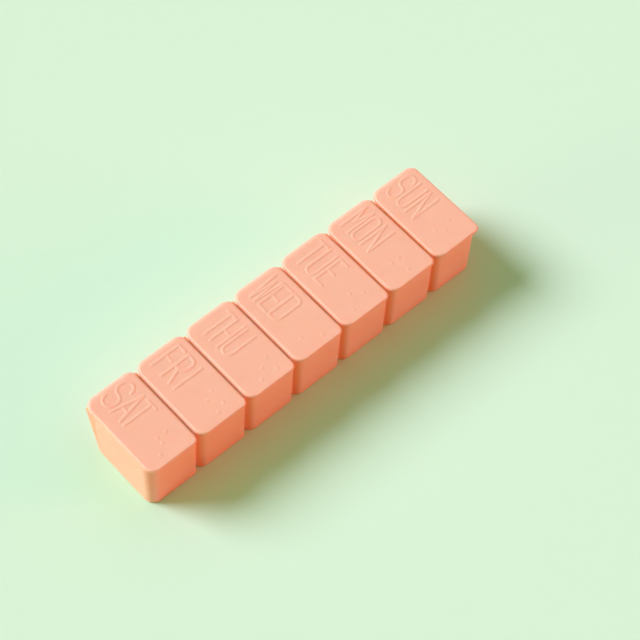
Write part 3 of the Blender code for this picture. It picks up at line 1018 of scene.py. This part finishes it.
def peach_plastic(name, settings, wave_depth):
    """Satin translucent moulded plastic, with painted shade in the seams, and its shader node."""
    material, output = new_material(name)
    tree = material.node_tree
    surface = group_node(tree, "Moulded surface", moulded_surface, {
        "Grain Size": settings.grain_size, "Grain Depth": settings.grain_depth,
        "Wave Depth": wave_depth})
    bump = add_node(tree, "ShaderNodeBump", inputs={
        "Height": surface["Height"], "Strength": 1.0, "Distance": 1.0})
    shader = add_node(tree, "ShaderNodeBsdfPrincipled", {"subsurface_method": "RANDOM_WALK"}, {
        "Base Color": mixed_colour(tree, surface["Flow"], rgba(settings.colour), settings.flow_colour),
        "Roughness": fade(tree, surface["Polish"], 0.0, 1.0, settings.roughness - ROUGHNESS_SPREAD,
                          settings.roughness + ROUGHNESS_SPREAD, "LINEAR"),
        "Normal": bump.outputs["Normal"], "IOR": PLASTIC_IOR, "Specular IOR Level": PLASTIC_SPECULAR,
        "Subsurface Weight": settings.translucency, "Subsurface Radius": settings.scatter,
        "Subsurface Scale": 1.0})
    # Painted shade on the walls of the seams between the lids
    seam = group_node(tree, "Painted seam shade", painted_seam_shade, {
        "Pitch": LID_PITCH, "Core": SEAM_CORE, "Reach": SEAM_REACH, "Row": SEAM_ROW,
        "At Left": SEAM_AT_LEFT, "Low": BOX_HEIGHT - SEAM_END, "High": BOX_HEIGHT - SEAM_START,
        "Blend": SEAM_BLEND})
    tint(tree, shader, seam["Seam"], settings.painted_shade_colour)
    tree.links.new(shader.outputs["BSDF"], output.inputs["Surface"])
    return material, shader


def tray_plastic(settings):
    """The tray's plastic, with painted shade in the folds between the cups and at the front's left end,
    and painted light at the front's foot.
    """
    material, shader = peach_plastic("tray_plastic", settings, TRAY_WAVE_DEPTH)
    tree = material.node_tree
    # Painted shade in the folds between the cups
    near = group_node(tree, "Near a seam", near_seam, {
        "Pitch": LID_PITCH, "Core": FOLD_CORE, "Reach": FOLD_REACH, "Row": SEAM_ROW,
        "Lean": FOLD_LEAN, "At Ends": FOLD_AT_ENDS})["Near"]
    place = object_place(tree)
    across = maths(tree, "ABSOLUTE", maths(tree, "SUBTRACT", place["Y"], (TRAY_FRONT + TRAY_BACK) / 2))
    start = (TRAY_BACK - TRAY_FRONT) / 2 - FOLD_DEPTH
    painted_fold_shade = maths(tree, "MULTIPLY", near, fade(tree, across, start, start + FOLD_BLEND))
    # Painted shade at the front's left end
    painted_end_shade = fade(tree, place["X"], -TRAY_END, PAINTED_END_SHADE_FADE, PAINTED_END_SHADE_DEPTH, 0.0)
    in_front = fade(tree, place["Y"], TRAY_FRONT, TRAY_FRONT + TRAY_CORNER, 1.0, 0.0)
    # Painted light on the front wall's foot
    foot = fade(tree, place["Z"], FOOT_LOW, FOOT_HIGH, 1.0, 0.0)
    tint(tree, shader, maths(tree, "MULTIPLY", foot, in_front), settings.painted_foot_light_colour)
    tint(tree, shader, maths(tree, "MULTIPLY", painted_end_shade, in_front), settings.painted_shade_colour)
    tint(tree, shader, painted_fold_shade, settings.painted_shade_colour)
    return material


def floor_paper(settings):
    """Plain matt paper for the floor, with painted shade close beside the box's left end."""
    material, output = new_material("floor_paper")
    tree = material.node_tree
    place = object_place(tree)
    # Painted shade: the floor deepens close beside the box's left end
    beside = maths(tree, "MAXIMUM", maths(tree, "SUBTRACT", -TRAY_END, place["X"]), 0.0)
    off_middle = maths(tree, "ABSOLUTE", maths(tree, "SUBTRACT", place["Y"], FLOOR_SHADE_MIDDLE))
    along = maths(tree, "MAXIMUM", maths(tree, "SUBTRACT", off_middle, FLOOR_SHADE_HALF_LENGTH), 0.0)
    squares = maths(tree, "ADD", maths(tree, "POWER", beside, 2.0), maths(tree, "POWER", along, 2.0))
    share = maths(tree, "DIVIDE", FLOOR_SHADE_REACH ** 2, maths(tree, "ADD", squares, FLOOR_SHADE_REACH ** 2))
    on_left = fade(tree, place["X"], -TRAY_END, -TRAY_END + FLOOR_SHADE_REACH, 1.0, 0.0)
    painted_floor_shade = maths(tree, "MULTIPLY", maths(tree, "POWER", share, 2.0), on_left)
    shader = add_node(tree, "ShaderNodeBsdfPrincipled", inputs={
        "Base Color": mixed_colour(tree, painted_floor_shade, rgba(settings.floor_colour), settings.painted_floor_shade_colour),
        "Roughness": PAPER_ROUGHNESS, "Specular IOR Level": PAPER_SPECULAR})
    tree.links.new(shader.outputs["BSDF"], output.inputs["Surface"])
    return material


# ------- stage


def make_floor(settings):
    """A broad plain floor under the box."""
    half = FLOOR_HALF_WIDTH
    corners = [(-half, -half, 0), (half, -half, 0), (half, half, 0), (-half, half, 0)]
    floor = add_mesh("floor", corners, [(0, 1, 2, 3)])
    floor.data.materials.append(floor_paper(settings))


def make_light(name, towards, colour, strength):
    """An even soft light from one side; towards points from the box to the light."""
    lamp = bpy.data.lights.new(name, "SUN")
    lamp.energy = strength
    lamp.color = colour
    lamp.angle = LIGHT_SPREAD
    item = add_item(name, lamp)
    item.rotation_euler = towards.to_track_quat("Z", "Y").to_euler()
    item.location = towards.normalized()


def make_lights(settings):
    """The key light from behind on the left, a low fill in front, and a weak side light."""
    make_light("key_light", KEY_DIRECTION, settings.key_colour, settings.key_strength)
    make_light("fill_light", FILL_DIRECTION, settings.fill_colour, settings.fill_strength)
    make_light("side_light", SIDE_DIRECTION, settings.side_colour, settings.side_strength)


def background(tree, colour, strength):
    """Even light of one colour from all round."""
    return add_node(tree, "ShaderNodeBackground", inputs={
        "Color": rgba(colour), "Strength": strength}).outputs[0]


def mixed_light(tree, share, first, second):
    """One light mixed towards another."""
    return add_node(tree, "ShaderNodeMixShader", inputs={0: share, 1: first, 2: second}).outputs[0]


def make_sky(settings):
    """Soft light from overhead and from low all round, and the backdrop that the camera sees."""
    world = bpy.data.worlds.new("studio")
    world.use_nodes = True
    tree = world.node_tree
    tree.nodes.clear()
    direction = add_node(tree, "ShaderNodeTexCoord").outputs["Generated"]
    height = add_node(tree, "ShaderNodeSeparateXYZ", inputs={"Vector": direction}).outputs["Z"]
    light = mixed_light(tree, fade(tree, height, *SKY_RISE),
                        background(tree, settings.horizon_colour, settings.horizon_strength),
                        background(tree, settings.zenith_colour, settings.zenith_strength))
    rays = add_node(tree, "ShaderNodeLightPath").outputs
    straight = maths(tree, "MAXIMUM", rays["Is Camera Ray"], rays["Is Glossy Ray"])
    seen = maths(tree, "MAXIMUM", straight, rays["Is Transmission Ray"])
    sky = mixed_light(tree, seen, light, background(tree, settings.floor_colour, 1.0))
    add_node(tree, "ShaderNodeOutputWorld", inputs={"Surface": sky})
    bpy.context.scene.world = world


def make_camera():
    """The photograph's camera."""
    camera = bpy.data.cameras.new("camera")
    camera.lens = CAMERA_LENS
    camera.sensor_width = SENSOR_WIDTH
    item = add_item("camera", camera)
    aim = (CAMERA_AIM - CAMERA_PLACE).to_track_quat("-Z", "Y").to_matrix().to_4x4()
    item.matrix_world = Matrix.Translation(CAMERA_PLACE) @ aim @ Matrix.Rotation(CAMERA_ROLL, 4, "Z")
    bpy.context.scene.camera = item


# ------- operators and panel


class PILLBOX_OT_make_tray(bpy.types.Operator):
    """Make the tray with its seven cups, hinge bars and ears."""

    bl_idname = "pillbox.make_tray"
    bl_label = "Make Tray"

    def execute(self, context):
        tray = make_tray()
        tray.name = "tray_finished"
        tray.data.materials.clear()
        tray.data.materials.append(tray_plastic(context.scene.pillbox_plastic))
        shade(tray)
        flat_faces_first(tray)
        keep_result(tray)
        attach(tray, "tray")
        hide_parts("tray")
        return {"FINISHED"}


class PILLBOX_OT_make_lids(bpy.types.Operator):
    """Make the seven lids with their raised letters and touch dots."""

    bl_idname = "pillbox.make_lids"
    bl_label = "Make Lids"

    def execute(self, context):
        scene = context.scene
        plastic = peach_plastic("lid_plastic", scene.pillbox_plastic, LID_WAVE_DEPTH)[0]
        for index, day in enumerate(DAYS):
            lid = lid_shell(index)
            add_patch(lid.data, index)
            shade(lid)
            raise_letters(lid, index, plastic, scene.pillbox_lettering)
            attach(lid, f"{day}_lid")
            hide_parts(f"{day}_lid")
        return {"FINISHED"}


class PILLBOX_OT_set_stage(bpy.types.Operator):
    """Make the floor, the light and the camera."""

    bl_idname = "pillbox.set_stage"
    bl_label = "Set Stage"

    def execute(self, context):
        settings = context.scene.pillbox_stage
        make_floor(settings)
        make_lights(settings)
        make_sky(settings)
        make_camera()
        context.scene.view_settings.view_transform = "Standard"
        return {"FINISHED"}


SETTINGS = {"pillbox_lettering": PILLBOX_PG_lettering, "pillbox_plastic": PILLBOX_PG_plastic,
            "pillbox_stage": PILLBOX_PG_stage}
OPERATORS = (PILLBOX_OT_make_tray, PILLBOX_OT_make_lids, PILLBOX_OT_set_stage)


class PILLBOX_PT_sidebar(bpy.types.Panel):
    """Lists the pill box's settings and the steps that make it."""

    bl_idname = "PILLBOX_PT_sidebar"
    bl_label = "Weekly Pill Box"
    bl_space_type = "VIEW_3D"
    bl_region_type = "UI"
    bl_category = "Pill Box"

    def draw(self, context):
        for settings in SETTINGS:
            group, box = getattr(context.scene, settings), self.layout.box()
            for name in group.__annotations__:
                box.prop(group, name)
        for operator in OPERATORS:
            self.layout.operator(operator.bl_idname)


CLASSES = (*SETTINGS.values(), *OPERATORS, PILLBOX_PT_sidebar)


def register():
    """Register the classes, and give each scene its settings."""
    for item in CLASSES:
        bpy.utils.register_class(item)
    for name, group in SETTINGS.items():
        setattr(bpy.types.Scene, name, PointerProperty(type=group))


def unregister():
    """Remove the settings and the classes."""
    for name in SETTINGS:
        delattr(bpy.types.Scene, name)
    for item in reversed(CLASSES):
        bpy.utils.unregister_class(item)


def main():
    """Make the pill box and its stage."""
    register()
    bpy.ops.pillbox.make_tray()
    bpy.ops.pillbox.make_lids()
    bpy.ops.pillbox.set_stage()


if __name__ == "__main__":
    main()
